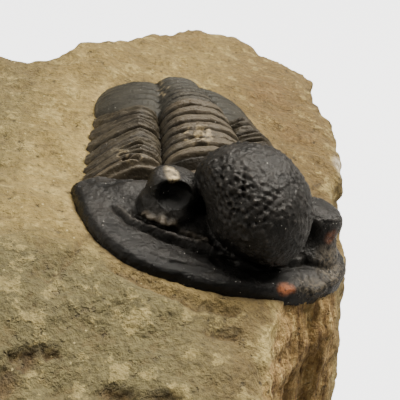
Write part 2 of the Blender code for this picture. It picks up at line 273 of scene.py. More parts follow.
# %% Outline of the head
HEAD_HALF_WIDTH = 18.5
HEAD_LENGTH = 19.9
REAR_CORNER_Y = -1.3
FRONT_POINTS = 97       # points along the round front of the outline
UNDERSIDE = -1.2        # the plates of shell reach down to this height in their beds
NECK_HALF = 6.4         # half the width of the ring behind the ball
HEAD_MIDDLE = (0, -3.0)
BALL = np.array((0.0, -12.3, 8.05))
BALL_RADIUS = 7.55
DROP = np.array((0.148, -0.515, -0.844))    # towards the ball's narrow end
LEAN = np.array((0.904, -0.277, 0.327))     # the way that end leans
FACE = np.cross(LEAN, -DROP)                # the way the ball's pitted side looks
EGG_PLACE = [-1.0, -0.6, 0.0, 0.55, 0.8, 1.0]
EGG_WIDTH = [1.0, 0.98, 0.84, 0.85, 0.8, 0.8]
EGG_SHIFT = [-0.09, -0.07, 0.13, 0.18, 0.24, 0.3]
GROOVE = [(-16.9, -3.4), (-15.9, -5.5), (-14.3, -7.6), (-11.0, -11.7), (-7.5, -13.3), (-4.0, -15.2),
          (-1.5, -16.9), (1.5, -17.1), (4.6, -15.9), (8.5, -14.9), (12.4, -12.8), (15.3, -8.2), (16.9, -3.4)]
LINES_AT = [-9, -0.9, -0.35, 0, 0.3, 0.7, 1.05, 1.4, 1.9, 9]    # mm inside the groove
LINES_HEIGHT = [0, 0, -0.3, -0.95, -0.45, 0.4, -0.3, 0.15, 0, 0]
CHEEK_AT = [-9, -1.0, 1.0, 2.4, 4.5, 7.5]
CHEEK_HEIGHT = [0, 0, 0.6, 1.6, 2.6, 3.0]


def head_front(grow=0.0):
    """The round front. Powers below 1 make the half moon fuller than an ellipse."""
    a = np.linspace(-math.pi / 2, math.pi / 2, FRONT_POINTS)
    x = (HEAD_HALF_WIDTH + grow) * np.sign(np.sin(a)) * np.abs(np.sin(a)) ** 0.88
    y = REAR_CORNER_Y - (HEAD_LENGTH + REAR_CORNER_Y + grow) * np.abs(np.cos(a)) ** 0.58
    return np.stack([x, y], 1)


def head_outline(grow=0.0):
    rear = [(18.3, -0.9), (15, -0.5), (7.6, -0.75), (6, -1.2), (0, -1.25),
            (-6, -1.2), (-7.6, -0.75), (-15, -0.5), (-18.3, -0.9)]
    return np.vstack([head_front(grow), rear])


def polar(points, centre):
    away = points[:, :2] - np.array(centre)
    return np.arctan2(away[:, 0], -away[:, 1]), np.hypot(away[:, 0], away[:, 1])


def inside_line(points, path, centre=HEAD_MIDDLE):
    """How far a point lies inside a line that runs round the centre, measured towards the centre."""
    angle, away = polar(points, centre)
    line_angle, line_away = polar(np.array(path, float), centre)
    order = np.argsort(line_angle)
    return np.interp(angle, line_angle[order], line_away[order]) - away


def egg(out, back=False):
    """Draw a round ball out into the leaning egg, or back again."""
    down = out @ DROP / BALL_RADIUS
    width = np.interp(down, EGG_PLACE, EGG_WIDTH)
    shift = np.interp(down, EGG_PLACE, EGG_SHIFT) * BALL_RADIUS
    side = out @ LEAN
    moved = (side - shift) / width if back else side * width + shift
    return out + np.outer(moved - side, LEAN)


def head_height(points):
    x, y = points[:, 0], points[:, 1]
    out = np.abs(x)
    inside = inside_line(points, head_front())
    groove = inside_line(points, GROOVE)
    edge = 1 - np.sqrt(1 - (1 - np.clip(inside, 0, 1)) ** 2)
    brim = 2.1 - 1.1 * edge - 0.5 * (1 - ease(inside / 3.4))
    lines = np.interp(groove, LINES_AT, LINES_HEIGHT)
    cheek = np.interp(groove, CHEEK_AT, CHEEK_HEIGHT)
    z = brim + cheek + lines * ease((x + 4) / 2) * ease((15.3 - x) / 2.6)
    rear = ease((y + 3.4) / 1.6) * ease((out - NECK_HALF) / 1.5) * ease((inside - 1.2) / 2.5)
    rear_groove = bump(y + 3.5, 0.5) * ease((out - 6.8) / 1.5) * ease((inside - 2) / 2)
    z = mix(z, 2.6, rear) - 0.7 * rear_groove
    neck = np.sqrt(np.clip(1 - (x / NECK_HALF) ** 2, 0, 1))
    ring = 3.6 + 3.7 * neck - ease((y + 2.3) / 1.3)
    return np.where((out < NECK_HALF) & (y > -9), np.maximum(z, ring), z)


print("head outline", len(head_outline()), "points")

# %% [markdown]
# ## Clay for the head
#
# A UV sphere is pressed into a plate with the head's outline, with a second sphere for the glabella, the
# ball in the middle. The eyes are short towers. The right one has lost its lens face, so a deep oval
# hollow is cut from its front with two overlapping spheres. A voxel remesh then fuses all of it into one
# skin of even squares, and the hollow's rim is smoothed more than the rest, as if worn.

# %% Plate, ball and eyes
HEAD_SQUARES = 0.178    # side of the skin's squares
RIGHT_EYE = (-8.6, -8.6)
LEFT_EYE = (11.2, -10.2)
SCOOP = np.array((-9.5, -11.4, 7.05))
SCOOP_RADIUS = 1.75
SCOOP_SHIFTS = [(0.5, 0.2, 0), (-0.3, 0, 0)]


def pressed_plate(name, outline, centre, height, bed, turns=150, rings=60):
    """A UV sphere whose upper side follows height(points) and whose underside is flat."""
    let_go()
    bpy.ops.mesh.primitive_uv_sphere_add(segments=turns, ring_count=rings, radius=MM)
    piece = named(name)
    unit = get_points(piece)
    angle = np.arctan2(unit[:, 1], unit[:, 0])
    ring = np.arccos(np.clip(unit[:, 2], -1, 1)) / math.pi * rings
    part = np.where(ring <= rings - 2.5, np.sin(ring / (rings - 3) * math.pi / 2), 1.0)
    part = np.where(ring > rings - 1.5, np.clip(rings - ring, 0, 1), part)
    loop = np.vstack([outline, outline[:1]])
    far = np.zeros(len(unit))
    for a, b in zip(loop[:-1], loop[1:]):    # where a ray from the centre crosses each side of the outline
        span, start = b - a, a - np.array(centre)
        cross = np.cos(angle) * span[1] - np.sin(angle) * span[0]
        cross = np.where(np.abs(cross) < 1e-9, 1e-9, cross)
        along = (start[0] * span[1] - start[1] * span[0]) / cross
        share = (start[0] * np.sin(angle) - start[1] * np.cos(angle)) / cross
        far = np.where((along > 0) & (share > -1e-6) & (share < 1 + 1e-6), np.maximum(far, along), far)
    flat = np.stack([centre[0] + np.cos(angle) * far * part, centre[1] + np.sin(angle) * far * part], 1)
    top = height(np.column_stack([flat, np.zeros(len(flat))]))
    z = np.where(ring <= rings - 2.5, top, UNDERSIDE)
    put_points(piece, from_bed(np.column_stack([flat, z]), bed))
    return piece


def tower(name, at, top, wide, deep, foot):
    """An eye: a rounded tower on a spreading foot."""
    let_go()
    bpy.ops.mesh.primitive_uv_sphere_add(segments=64, ring_count=48, radius=MM)
    piece = named(name)
    unit = get_points(piece)
    down = np.arccos(np.clip(unit[:, 2], -1, 1)) / math.pi
    steps = [0, 0.1, 0.2, 0.3, 0.42, 0.55, 0.7, 0.8, 0.97, 1]
    width = np.interp(down, steps, [0, 0.55, 0.86, 0.98, 1.0, 0.96, 1.08, foot, foot, 0])
    drop = np.interp(down, steps, [0, 0.1, 0.6, 1.4, 2.4, 3.4, 4.6, 5.9, top - 0.5, top - 0.5])
    angle = np.arctan2(unit[:, 1], unit[:, 0])
    local = np.stack([at[0] + np.cos(angle) * wide * width, at[1] + np.sin(angle) * deep * width,
                      top - drop], 1)
    put_points(piece, from_bed(local, "head"))
    return piece


def scoop(piece, centre, radius):
    let_go()
    bpy.ops.mesh.primitive_uv_sphere_add(segments=48, ring_count=32, radius=radius * MM,
                                         location=from_bed(centre, "head") * MM)
    cutter = named("scoop")
    take(piece)
    bpy.ops.object.modifier_add(type="BOOLEAN")
    step = piece.modifiers[-1]
    step.operation = "DIFFERENCE"
    step.solver = "EXACT"
    step.object = cutter
    bpy.ops.object.modifier_apply(modifier=step.name)
    bpy.data.objects.remove(cutter)


plate = pressed_plate("head", head_outline(), (0, -9), head_height, "head")
let_go()
bpy.ops.mesh.primitive_uv_sphere_add(segments=96, ring_count=64, radius=BALL_RADIUS * MM,
                                     location=from_bed(BALL, "head") * MM)
ball = named("ball")
bpy.ops.object.transform_apply(location=True)
put_points(ball, from_bed(BALL + egg(to_bed(get_points(ball), "head") - BALL), "head"))
right_eye = tower("right_eye", RIGHT_EYE, 9.0, 3.4, 3.0, 1.1)
for shift in SCOOP_SHIFTS:
    scoop(right_eye, SCOOP + np.array(shift), SCOOP_RADIUS)
left_eye = tower("left_eye", LEFT_EYE, 8.8, 3.1, 3.3, 1.4)
take(plate, ball, right_eye, left_eye)
bpy.ops.object.join()
head = remesh(plate, HEAD_SQUARES)
points = smoothed(get_points(head), get_edges(head), 5)
worn = ease((SCOOP_RADIUS + 1.4 - np.linalg.norm(to_bed(points, "head") - SCOOP, axis=1)) / 0.8)
points = mix(points, smoothed(points, get_edges(head), 24), worn[:, None])
put_points(head, points)
print("head skin", len(points), "points")

# %% [markdown]
# ## Tubercles and pits
#
# The ball is covered with little tubercles, and pits lie between them on the side of the right eye. They
# could be sculpted one by one. Here they are strewn over a sphere in a sunflower pattern, shaken a little,
# and every point of the skin looks up its nearest tubercle and its nearest pit.

# %% Carve the ball
TUBERCLES, PITS = 1150, 1000
TUBERCLE_HEIGHT, PIT_DEPTH, DOT_WIDTH = 0.25, 0.65, 0.28


def sunflower(count, seed):
    index = np.arange(count) + 0.5
    z = 1 - 2 * index / count
    angle = index * math.pi * (1 + 5 ** 0.5)
    side = np.sqrt(1 - z * z)
    points = np.stack([np.cos(angle) * side, np.sin(angle) * side, z], 1)
    points += np.random.default_rng(seed).normal(0, 1.1 / math.sqrt(count), (count, 3))
    return points / np.linalg.norm(points, axis=1)[:, None]


def nearest(points, seeds):
    """For each point, which seed is nearest and how far it is."""
    tree = kdtree.KDTree(len(seeds))
    for index, seed in enumerate(seeds):
        tree.insert(Vector(seed), index)
    tree.balance()
    found = [tree.find(Vector(p)) for p in points]
    return np.array([f[1] for f in found]), np.array([f[2] for f in found])


local = to_bed(points, "head")
out = egg(local - BALL, back=True)
radius = np.linalg.norm(out, axis=1)
on_ball = ease((radius - 7.2) / 0.2) * ease((7.95 - radius) / 0.35) * ease((out[:, 2] + 6.6) / 0.8)
chosen = np.where(on_ball > 0.01)[0]
way = out[chosen] / radius[chosen, None]
amount = np.zeros(len(points))
seeds = sunflower(TUBERCLES, 3)
size = np.random.default_rng(5).uniform(0.2, 1.2, TUBERCLES)
which, gap = nearest(way * BALL_RADIUS, seeds * BALL_RADIUS)
crown = ease((way[:, 0] + 0.97) / 0.12)
pit_centre = -0.43 * LEAN - 0.15 * DROP + 0.89 * FACE
pitted = np.exp(-(np.linalg.norm(way - pit_centre, axis=1) / 0.55) ** 2)
amount[chosen] += TUBERCLE_HEIGHT * size[which] * bump(gap, DOT_WIDTH) * crown * mix(0.55, 1.3, pitted)
wrinkled = ease((way @ LEAN - 0.4) / 0.35)
amount[chosen] += 0.09 * wrinkled * lumps(local[chosen] * np.array((2.4, 2.4, 0.6)), 1.0, 3.0)
pit_seeds = sunflower(PITS, 8)
pit_size = np.random.default_rng(9).uniform(0.1, 1.2, PITS)
which, gap = nearest(way * BALL_RADIUS, pit_seeds * BALL_RADIUS)
amount[chosen] -= PIT_DEPTH * pitted * pit_size[which] * bump(gap, DOT_WIDTH)
amount *= on_ball
print("tubercles", TUBERCLES, "pits", PITS, "on", len(chosen), "points")

# %% [markdown]
# ## Brim and cheek
#
# A jagged ledge of broken shell runs from the foot of the right eye to the ball, and below it a groove, a
# ridge and a groove follow the brim. Each is a line through a few corners on the skin. Its distance, shaken
# by noise so that no edge is straight, says how deep the skin is pressed in. The brim is knobbly on the
# left, and on the right its outer wall is broken back a little.

# %% Carve brim and cheek
LEDGE = [(-11.8, -10.3, 3.6), (-10.0, -11.6, 3.9), (-8.1, -12.2, 3.4), (-6.3, -12.9, 3.0), (-4.6, -13.9, 2.8)]
BORDER = [  # grooves and, where the depth is negative, a ridge: corners, depth, width
    ([(-15.0, -7.6, 2.2), (-13.8, -9.9, 2.2), (-12.3, -11.7, 2.1), (-10.1, -13.1, 2.2), (-7.2, -14.2, 2.2),
      (-4.0, -15.6, 2.3), (-1.4, -16.5, 2.3)], 0.8, 0.34),
    ([(-14.3, -7.7, 2.4), (-13.0, -10.0, 2.3), (-11.1, -11.6, 2.4), (-8.6, -12.8, 2.5), (-5.5, -13.9, 2.6),
      (-3.8, -14.7, 2.6)], -0.55, 0.3),
    ([(-12.9, -8.6, 2.7), (-12.2, -9.6, 2.7), (-10.6, -11.4, 2.9), (-8.1, -12.1, 2.8), (-5.2, -13.4, 2.8)],
     0.65, 0.27),
]
x, y, z = local.T
jag = rough(local, 1.3, 3, 4.0)
ledge = line_distance(local + np.outer(jag, (0.25, 0.2, 0.25)), LEDGE)
low_part = ease((5.6 - z) / 0.8) * ease((radius - 7.7) / 0.5)
clear = ease((np.linalg.norm(local - SCOOP, axis=1) - SCOOP_RADIUS - 0.7) / 0.5)
amount += clear * low_part * 0.75 * bump(ledge, 0.42) * (1 + 0.9 * lumps(local, 0.6, 2.0))
shaken = local + np.outer(jag, (0.1, 0.1, 0))
fade = low_part * mix(0.65, 1, ease((x + 13.5) / 3))
for path, depth, width in BORDER:
    amount -= depth * bump(line_distance(shaken, path), width) * fade
knobs = spot(local, (10.0, -18.6, 1.5), (5.0, 2.6, 3.0))
amount += knobs * 0.45 * lumps(local, 1.5, 5.0) + 0.1 * lumps(local, 3.0, 1.0)
neck_line = bump(radius - 8.75, 0.22) * ease((y + 6.5) / 1.5) * ease(6.5 - np.abs(x))
amount -= 0.3 * neck_line
amount += 0.09 * rough(local, 0.9, 3, 9.0) + 0.07 * lumps(local, 2.2, 11.0)
inside = inside_line(local, head_front())
broken_wall = 1 - ease((inside - 1.5 - 0.5 * lumps(local, 2.5, 41.0)) / 0.4)
broken_wall *= spot(local, (-9.0, -17.5, 1.5), (6.5, 4.0, 4.0))
amount -= 0.35 * broken_wall
push(head, amount)
put_points(head, np.clip(get_points(head), LOW, HIGH))
print("head box", get_points(head).min(0).round(1), get_points(head).max(0).round(1))

# %% [markdown]
# ## Where the head is worn, stained or dark
#
# One black finish would look like plastic. The real shell is rubbed pale on top of the right eye, rusty in
# two places and dusty on the left. Painted shade makes it near black in the eye's hollow, round and under the
# ball, on the front and broken wall of the brim and along the margin. Each of these is painted on the points
# as a number, and the material turns the numbers into colour.

# %% Paint the head
RED_SPOT = (5.0, -19.4, 1.3)
local = to_bed(get_points(head), "head")
x, y, z = local.T
radius_now = np.linalg.norm(egg(local - BALL, back=True), axis=1)
rubbed = np.maximum(spot(local, (-9.8, -9.2, 8.9), (1.1, 2.0, 1.4)),
                    0.9 * spot(local, (-9.6, -10.9, 8.4), (1.1, 0.9, 1.2)))
rusty = np.maximum(spot(local, RED_SPOT, (1.7, 1.2, 1.2)),
                   0.8 * spot(local, (12.0, -13.3, 6.0), (1.3, 1.5, 1.3)))
# Painted shade: the eye's hollow, round the foot of the ball, the front of the brim, its broken wall, under
# the ball and the lower margin are painted near black.
cave = SCOOP_RADIUS + 0.55 - np.linalg.norm((local - SCOOP) * np.array((0.8, 1, 1)), axis=1)
off_ledge = 1 - bump(line_distance(local, LEDGE), 0.7) * low_part
shade_round_ball = (off_ledge * ease((1.7 - np.abs(radius_now - BALL_RADIUS - 0.7)) / 0.8) * ease((4.6 - z) / 1.6)
              * ease((-9 - y) / 2))
front = ease((-10.5 - y - 0.1 * x) / 4) * off_ledge * ease(3 - z) * ease((9.5 - x) / 2)
shade_under_ball = ease((6.0 - z) / 2.5) * ease((8.2 - radius_now) / 0.4) * ease((-13 - y) / 2)
margin_shade = (1 - ease((inside - 0.1) / 0.9)) * ease((2.4 - z) / 0.6)
neck_ring = ease((y + 5.5) / 2) * ease(6.8 - np.abs(x))
# The dark mask of the head is painted shade.
paint(head, crest=standing_out(head, 10), rust=rusty,
      tan=rubbed * ease(1.0 + 0.9 * lumps(local, 0.7, 14.0)),
      dark=np.maximum.reduce([ease(cave / 0.4), 0.7 * shade_round_ball, 0.4 * front, broken_wall,
                              0.9 * shade_under_ball, 0.85 * margin_shade]),
      brown=np.maximum(low_part * bump(ledge, 0.45), neck_ring),
      dust=np.maximum(knobs * 0.8, spot(local, (13.5, -14.5, 3.0), (4.0, 5.0, 4.0))))
print("painted", [layer.name for layer in head.data.attributes if layer.data_type == "FLOAT"])

# %% [markdown]
# ## The seven thorax segments
#
# Each segment is one hoop of shell: a round ring over the middle and a rib to each side that arches,
# bends down at its knee and ends in a free, rounded tip. One grid is laid out across the animal, shaped,
# and extruded down into the stone. Front edges dip under the segment before, and the shade in this line
# is painted dark.

# %% One segment
SEGMENTS = 7
THORAX_LENGTH = 13.4
TAIL_LENGTH = 14.0
PITCH = THORAX_LENGTH / SEGMENTS
COLUMNS, ROWS = 300, 30
AXIS_SHARE = 0.36       # part of the grid's half width that the ring takes
AXIS_FOOT, AXIS_TOP = 4.3, 8.0
KNEE, KNEE_HEIGHT, TIP_HEIGHT = 0.36, 5.8, 0.4
TIP_SWEEP = [0.0, -0.35, -0.55, -0.4, 0.4, 1.6, 3.0, 4.8]    # how far back the tips reach
DIP = [0.7, 0.7, 0.65, 0.7, 2.2, 0.8, 0.9]                   # how deep the line in front of each segment is


def axis_half(s):
    return mix(6.6, 3.0, s / (THORAX_LENGTH + TAIL_LENGTH))


def body_half(s):
    return mix(16.4, 12.8, np.clip(s / THORAX_LENGTH, 0, 1) ** 2.2)


def sweep(s, u):
    return np.interp(s, np.arange(8) * PITCH, TIP_SWEEP) * np.clip((u - 0.3) / 0.7, 0, 1) ** 1.5


def rib_height(u):
    rise = mix(AXIS_FOOT, KNEE_HEIGHT, np.sin(np.clip(u / KNEE, 0, 1) * math.pi / 2))
    fall = mix(KNEE_HEIGHT, TIP_HEIGHT, np.clip((u - KNEE) / (1 - KNEE), 0, 1) ** 1.3)
    return np.where(u < KNEE, rise, fall)


def make_segment(index):
    let_go()
    bpy.ops.mesh.primitive_grid_add(x_subdivisions=COLUMNS, y_subdivisions=ROWS, size=2 * MM)
    piece = named(f"segment_{index + 1}")
    grid = get_points(piece)
    c, v = grid[:, 0], np.clip((grid[:, 1] + 1) / 2, 0, 1)    # across the animal, and front to back
    side = np.sign(c)
    u = np.clip((np.abs(c) - AXIS_SHARE) / (1 - AXIS_SHARE), 0, 1)    # along the rib, 0 to 1
    seed = index * 3.7
    waver = lumps(np.stack([c * 7, c * 0 + index * 5.0, c * 0], 1), 1.0, seed)
    tuck = 0.62 * ease((u - 0.8) / 0.2) ** 1.5    # the tip's corners are drawn in
    s = index * PITCH + 0.05 + mix(v, 0.62, tuck) * (PITCH - 0.1)
    band = ease(v / 0.34) * (1 - 0.55 * ease((v - 0.82) / 0.18))
    relief = 0.7 * (1 + 0.2 * waver) * band - 0.58
    lean = np.sin(np.clip(c / AXIS_SHARE, -1, 1) * math.pi / 2)
    x_axis = axis_half(s) * lean
    z_axis = mix(AXIS_FOOT, AXIS_TOP, np.sqrt(np.clip(1 - lean * lean, 0, 1))) + relief * 1.15
    x_rib = side * mix(axis_half(s), body_half(s), u)
    furrow = bump(v - 0.55 - 0.12 * u, 0.1) * ease(u / 0.1) * ease((0.8 - u) / 0.3)
    z_rib = rib_height(u) + relief * DIP[index] * (1 - 0.2 * u) - 0.2 * furrow
    z_rib += 0.1 * np.sin((v * 1.6 + 0.35 * waver) * 2 * math.pi) * ease(u / 0.1)
    if index == 0:    # the first rib bows down under the head
        z_rib -= (2.6 * (1 - v) ** 1.3 + 0.13 * np.sin(v * 17)) * np.clip(np.sin(math.pi * u), 0, 1) ** 0.7
    on_axis = np.abs(c) <= AXIS_SHARE
    x = np.where(on_axis, x_axis, x_rib)
    z = np.where(on_axis, z_axis, z_rib)
    z -= 0.55 * bump(np.abs(x) - axis_half(s) - 0.1, 0.45) * (0.6 + 0.4 * (1 - v))
    local = np.stack([x, s + sweep(s, u), z], 1)
    streaks = lumps(local * np.array((0.5, 3.4, 0.5)), 1.0, seed) * 0.12
    local[:, 2] += (streaks + 0.1 * rough(local, 1.1, 3, seed)) * ease(v / 0.15) * ease((1 - v) / 0.1)
    put_points(piece, local)
    # Painted shade: the line where each segment dips under the one before is painted dark.
    line = 0.26 + 0.16 * lumps(local, 1.6, seed + 2)
    strong = mix(0.85, 0.35 + 0.3 * DIP[index], ease((u - 0.04) / 0.08)) * (1 + 0.4 * waver)
    paint(piece, dark=np.clip(strong, 0, 1) * (1 - ease((v - 0.05) / line)) * ease((0.97 - u) / 0.1))
    edit_all(piece, bpy.ops.mesh.extrude_region_move, TRANSFORM_OT_translate={"value": (0, 0, -MM)})
    local = get_points(piece)
    lower = np.empty(len(local), dtype=bool)
    piece.data.vertices.foreach_get("select", lower)
    local[lower, 2] = UNDERSIDE
    put_points(piece, from_bed(local, "body"))
    edit_all(piece, bpy.ops.mesh.normals_make_consistent, inside=False)
    bpy.ops.object.shade_smooth()
    return piece


segments = [make_segment(index) for index in range(SEGMENTS)]
print("segments", len(segments), "with", len(segments[0].data.polygons), "faces each")

# %% [markdown]
# ## Slits and wear in the thorax
#
# Three short slits with pale rims gape at the knee of the first right ribs, and the middle rings' crests
# are chipped pale. The slits are pressed in by distance to a short line, the chips by noise inside a spot.
# The rings and the first ribs are browner than the rest, and dust lies at the foot of the flanks.

# %% Age the segments
SLITS = [((-11.8, 4.4), (-9.3, 4.0)), ((-12.0, 2.8), (-9.6, 2.3)), ((-11.7, 1.8), (-10.0, 1.4))]
SLIT_DEPTH, SLIT_WIDTH, RIM_AT = 0.8, 0.2, 0.42
for piece in segments:
    points = get_points(piece)
    local = to_bed(points, "body")
    y, z = local[:, 1], local[:, 2]
    top = ease((z + 0.4) / 0.5)
    to_slits = [line_distance(local, slit) for slit in SLITS]
    slits = sum(bump(distance, SLIT_WIDTH) for distance in to_slits)
    rims = np.max([bump(distance - RIM_AT, 0.12) for distance in to_slits], axis=0) * top
    chipped = spot(local, (-1.4, 4.6, 7.5), (3.6, 3.4, 3.0))
    amount = (0.3 * chipped * lumps(local, 0.55, 3.0) - SLIT_DEPTH * slits) * top
    put_points(piece, np.clip(points + BODY[:, 2] * amount[:, None], LOW, HIGH))
    paint(piece, crest=standing_out(piece, 10), rust=np.zeros(len(points)),
          tan=np.maximum(0.55 * chipped * ease(lumps(local, 0.6, 12.0) * 2.5 - 0.3),
                         0.3 * rims * ease(lumps(local, 0.5, 13.0) * 3)),
          brown=np.maximum(ease((z - 6.2) / 1.5), 0.9 * ease((3.5 - y) / 2.5)),
          dust=0.5 * ease((1.6 - z) / 2.0))
print("slits", len(SLITS))

# %% [markdown]
# ## The tail shield
#
# The tail is one fused plate: a low dome with a narrow ringed axis and faint ribs that sweep back. It is
# pressed from a UV sphere, as the head's plate was. The lines between its rings are cut where a wave is
# high, and the same wave, shaken by noise, paints the shade in them dark.

# %% Press the tail
TAIL_HALF = 12.8
REAR_BOW = 4.8          # how far the flanks of the tail reach back
TAIL_SQUARES = 0.19
RING_PITCH, RING_START = 1.55, 0.2


def tail_rear(a, grow=0.0):
    y = THORAX_LENGTH + REAR_BOW * np.abs(np.cos(a)) + (TAIL_LENGTH + grow) * np.sin(a)
    return np.stack([(TAIL_HALF + grow) * np.cos(a), y], 1)


def tail_outline():
    part = np.linspace(-1, 1, 41)
    u = np.clip((np.abs(part) - 0.4) / 0.6, 0, 1)
    inner = axis_half(THORAX_LENGTH)
    x = np.where(np.abs(part) < 0.4, part / 0.4 * inner, np.sign(part) * mix(inner, TAIL_HALF, u))
    front = np.stack([x, THORAX_LENGTH + sweep(THORAX_LENGTH, u) + 0.05], 1)
    return np.vstack([front, tail_rear(np.linspace(0, math.pi, 82)[1:-1])])


def tail_axis_half(y):
    return mix(axis_half(THORAX_LENGTH), 3.0, np.clip(y / (TAIL_LENGTH * 0.75), 0, 1))


def ring_lines(y, shake=0.0):
    return np.clip(np.cos(2 * math.pi * (y / RING_PITCH + RING_START + shake)), 0, 1)


def tail_height(points):
    x, y = points[:, 0], points[:, 1] - THORAX_LENGTH
    half = tail_axis_half(y)
    off = np.abs(x) / TAIL_HALF
    share = np.clip(np.hypot(off, (y - REAR_BOW * off) / TAIL_LENGTH), 0, 1)
    field = mix(5.2, TIP_HEIGHT, share ** 3.4)
    ribs = np.sin((y - 3.2 * off ** 1.5) * 2 * math.pi / 1.75)
    field += 0.13 * ribs * ease((1 - share) / 0.25) * ease((off - 0.2) / 0.1)
    field -= bump(np.abs(x) - half, 0.75) * (1 - share)
    end = 1 - ease((y - TAIL_LENGTH * 0.68) / (TAIL_LENGTH * 0.2))
    crown = np.sqrt(np.clip(1 - (x / half) ** 2, 0, 1))
    raised = mix(4.0, AXIS_TOP - 2.4 * ease(y / TAIL_LENGTH / 0.8), crown)
    raised -= 0.85 * ring_lines(y) ** 2 * np.clip(1 - 0.9 * y / TAIL_LENGTH, 0, 1)
    field = np.where(np.abs(x) < half, mix(field, np.maximum(raised, field - 0.3), end), field)
    return field - 0.5 * bump(y - sweep(THORAX_LENGTH, np.clip((off - 0.32) / 0.68, 0, 1)), 0.4)


tail = pressed_plate("tail", tail_outline(), (0, THORAX_LENGTH + 5), tail_height, "body", 170, 70)
tail = remesh(tail, TAIL_SQUARES)
points = smoothed(get_points(tail), get_edges(tail), 2)
local = to_bed(points, "body")
put_points(tail, points)
streaks = lumps(local * np.array((0.4, 2.2, 0.6)), 1.0, 30.0) * 0.05
push(tail, streaks + 0.05 * rough(local, 1.4, 3, 21.0))
put_points(tail, np.clip(get_points(tail), LOW, HIGH))
print("tail skin", len(points), "points")

# %% [markdown]
# ## Where the tail is worn or dark
#
# A pale seam runs along the right side of the axis, the front rings are a little browner, and the ring lines
# and the hollows are painted dark as painted shade.

# %% Paint the tail
local = to_bed(get_points(tail), "body")
x, y, z = local.T
crest = standing_out(tail, 10)
back = y - THORAX_LENGTH
# Painted shade: the ring lines on the axis and the hollows are painted dark.
lines = ring_lines(back, 0.12 * lumps(local, 2.0, 33.0)) ** 3 * ease((tail_axis_half(back) - np.abs(x)) / 0.8)
lines *= ease((0.62 - back / TAIL_LENGTH) / 0.35) * ease(z - 4)
seam = spot(local, (-3.2, 20.4, 5.0), (1.1, 4.6, 1.8))
paint(tail, crest=crest, rust=np.zeros(len(local)),
      tan=0.55 * seam * ease(lumps(local, 0.7, 31.0) * 2),
      brown=0.3 * ease((z - 6.0) / 1.5) * ease((19 - y) / 3),
      dark=np.maximum(lines, ease((-crest - 0.03) / 0.12) * ease(z / 2)),
      dust=0.55 * ease((1.2 - z) / 1.5))
print("darkest line on the tail", lines.max().round(2))

# %% [markdown]
# ## The block of limestone
#
# The stone starts as a copy of its plain solid. Two thin slabs close the narrow joint between stone and
# shell, as the real rock does, and a remesh gives an even skin to carve.

# %% Clay for the stone
STONE_SQUARES = 0.62
SLAB_BOTTOM, SLAB_TOP = -2.2, -0.1
SLAB_GROW = 0.1


def slab(name, outline, bed):
    let_go()
    bpy.ops.mesh.primitive_circle_add(vertices=len(outline), radius=MM, fill_type="NGON")
    piece = named(name)
    put_points(piece, np.column_stack([outline, np.full(len(outline), SLAB_BOTTOM)]))
    up = (0, 0, (SLAB_TOP - SLAB_BOTTOM) * MM)
    edit_all(piece, bpy.ops.mesh.extrude_region_move, TRANSFORM_OT_translate={"value": up})
    edit_all(piece, bpy.ops.mesh.normals_make_consistent, inside=False)
    put_points(piece, from_bed(get_points(piece), bed))
    return piece


def body_outline(grow):
    s = np.arange(SEGMENTS) * PITCH
    flank = np.stack([body_half(s) + grow, s + sweep(s, 1.0)], 1)
    front = [(-body_half(0) - grow, -2), (body_half(0) + grow, -2)]
    rear = tail_rear(np.linspace(0, math.pi, 61), grow)
    return np.vstack([flank, rear, flank[::-1] * np.array((-1, 1)), front])


let_go()
stone = bpy.data.objects.new("stone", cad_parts["matrix"].data.copy())
bpy.context.scene.collection.objects.link(stone)
edit_all(stone, bpy.ops.mesh.remove_doubles, threshold=0.002 * MM)
head_fill = slab("head_fill", head_outline(SLAB_GROW), "head")
body_fill = slab("body_fill", body_outline(SLAB_GROW), "body")
take(stone, head_fill, body_fill)
bpy.ops.object.join()
stone = remesh(stone, STONE_SQUARES)
print("stone skin", len(stone.data.vertices), "points")

# %% [markdown]
# ## Carving the stone
#
# A block broken with hammer and chisel has broad lumps, small roughness, a few cracks in front of the
# brim, pits where grains fell out, and upright flutes where it split on its left front side. Each is
# noise or a line, and all of it fades out at the shell and at the flat base.

# %% Carve the stone
CRACKS = [  # corners in x and y, depth, width
    ([(2.5, -29.8), (5.6, -30.5), (7.8, -30.8), (10.1, -31.0), (12.2, -31.6)], 1.0, 0.5),
    ([(13.6, -31.2), (16.2, -30.8)], 1.2, 0.6),
    ([(13.3, -34.5), (16.4, -33.9)], 0.9, 0.45),
    ([(-1.2, -25.2), (-1.6, -28.0), (-2.2, -29.8), (-3.0, -31.3), (-4.1, -33.0)], 0.6, 0.3),
    ([(29.8, 3.2), (29.4, -0.5)], 0.6, 0.5),
]
STONE_PITS = [  # centre, radius, depth
    ((-6.2, -42.6, 28.2), (2.6, 1.9, 2.0), 1.4), ((-3.4, -41.3, 27.9), (2.2, 1.1, 1.6), 1.1),
    ((-7.4, -45.0, 27.8), (2.0, 2.0, 2.0), 1.0), ((3.7, -43.8, 24.6), (3.4, 1.5, 1.6), 1.1),
    ((8.6, -43.2, 23.8), (3.2, 1.3, 1.5), 0.9), ((-1.8, -44.7, 25.7), (1.6, 1.0, 1.2), 0.6),
    ((15.6, -33.0, 25.6), (1.0, 0.9, 1.0), 0.6), ((-5.0, -20.5, 33.6), (1.6, 1.2, 1.4), 0.4),
]
BASE_EDGE = 0.3    # below this height the stone is flat base and keeps its shape
points = smoothed(get_points(stone), get_edges(stone), 3)
put_points(stone, points)
normals = get_normals(stone)
upper = ease((normals[:, 2] - 0.35) / 0.4)
free = ease((points[:, 2] - BASE_EDGE) / 2.5)
margin = np.vstack([from_bed(np.pad(outline, ((0, 0), (0, 1))), bed)
                    for outline, bed in ((head_outline(), "head"), (body_outline(0), "body"))])
away = nearest(points, margin)[1]    # distance from the shell's margin
calm = ease((away - 0.6) / 2.5)
